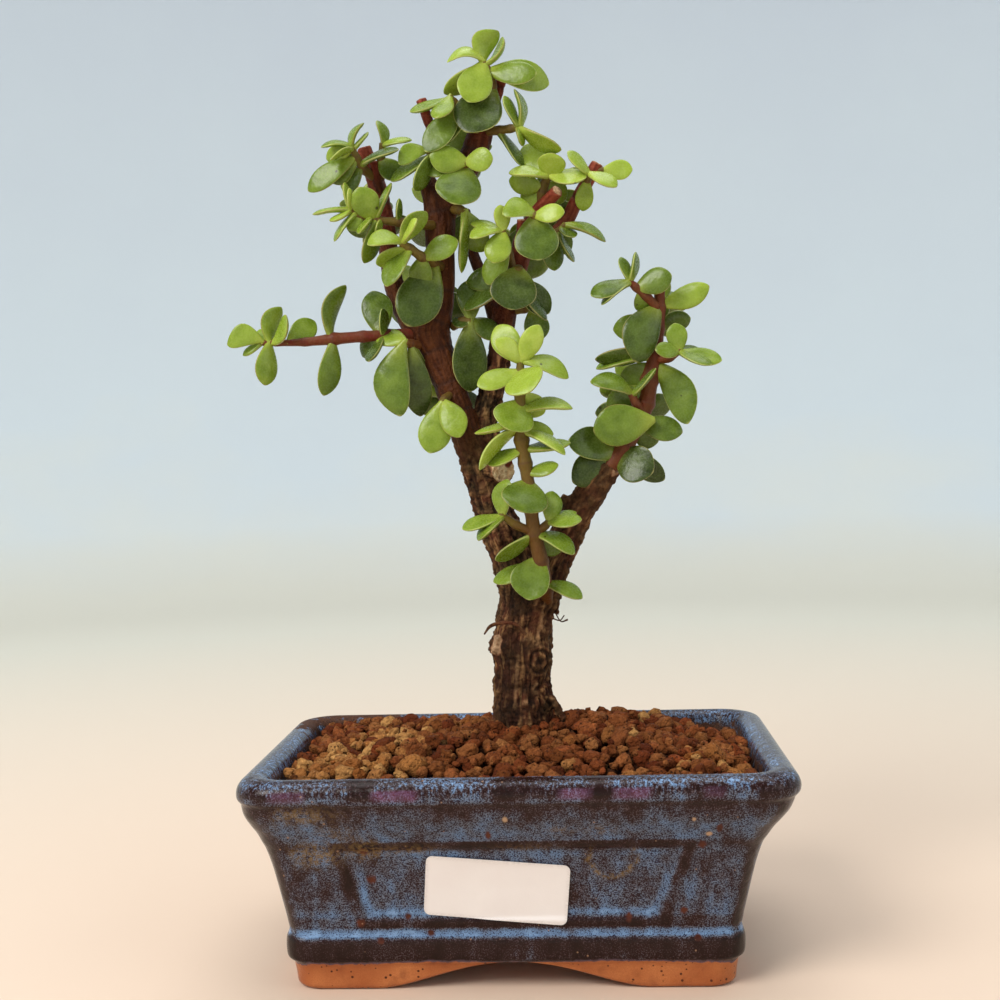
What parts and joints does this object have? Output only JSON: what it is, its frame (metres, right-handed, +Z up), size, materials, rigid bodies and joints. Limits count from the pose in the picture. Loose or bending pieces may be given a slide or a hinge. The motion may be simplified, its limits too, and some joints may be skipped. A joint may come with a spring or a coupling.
{
  "type": "potted dwarf jade bonsai",
  "caption": "Dwarf jade bonsai with a forked, pruned trunk and small fleshy leaves, standing in granular soil in a glazed rectangular pot on feet.",
  "frame": {"origin": "middle of the whole in plan, on the ground under the pot's feet", "axes": "+Z up, X along the pot's long side with the long side shoot pointing to -X, the front with the label faces -Y"},
  "size_m": [0.1794, 0.115, 0.3043],
  "materials": {
    "stoneware": "glossy blue and brown glaze, unglazed terracotta feet",
    "label_paper": "smooth white",
    "screen_plastic": "matt black",
    "bark": "rough bark",
    "soil": "porous granules",
    "leaf": "waxy, softly glossy",
    "young_leaf": "waxy, softly glossy"
  },
  "bodies": {
    "root": {"pot": "stoneware", "label": "label_paper", "drain_screen_left": "screen_plastic", "drain_screen_right": "screen_plastic", "trunk": "bark", "soil": "soil", "centre_shoot": "young_leaf", "right_shoot": "leaf", "left_shoot": "leaf", "node_shoot": "leaf", "scar_shoot": "leaf", "front_twig": "young_leaf", "left_twig": "young_leaf", "upper_left_twig": "leaf", "outer_twig": "leaf", "crown_tip": "young_leaf", "crown_left_twig": "young_leaf", "crown_right_twig": "leaf", "stub_twig": "leaf", "middle_twig": "young_leaf", "hanging_twig": "leaf", "heart_twig": "young_leaf", "pair_twig": "young_leaf", "right_crown_twig": "young_leaf", "far_right_twig": "leaf", "low_right_twig": "leaf", "dark_leaf_twig": "leaf", "shade_twig": "leaf", "low_far_twig": "leaf", "back_low_twig": "leaf", "back_node_twig": "leaf", "back_left_twig": "leaf", "back_crown_twig": "leaf", "back_limb_twig": "leaf", "back_far_twig": "leaf", "back_right_twig": "leaf", "back_side_twig": "leaf", "back_top_twig": "leaf"}
  },
  "joints": []
}
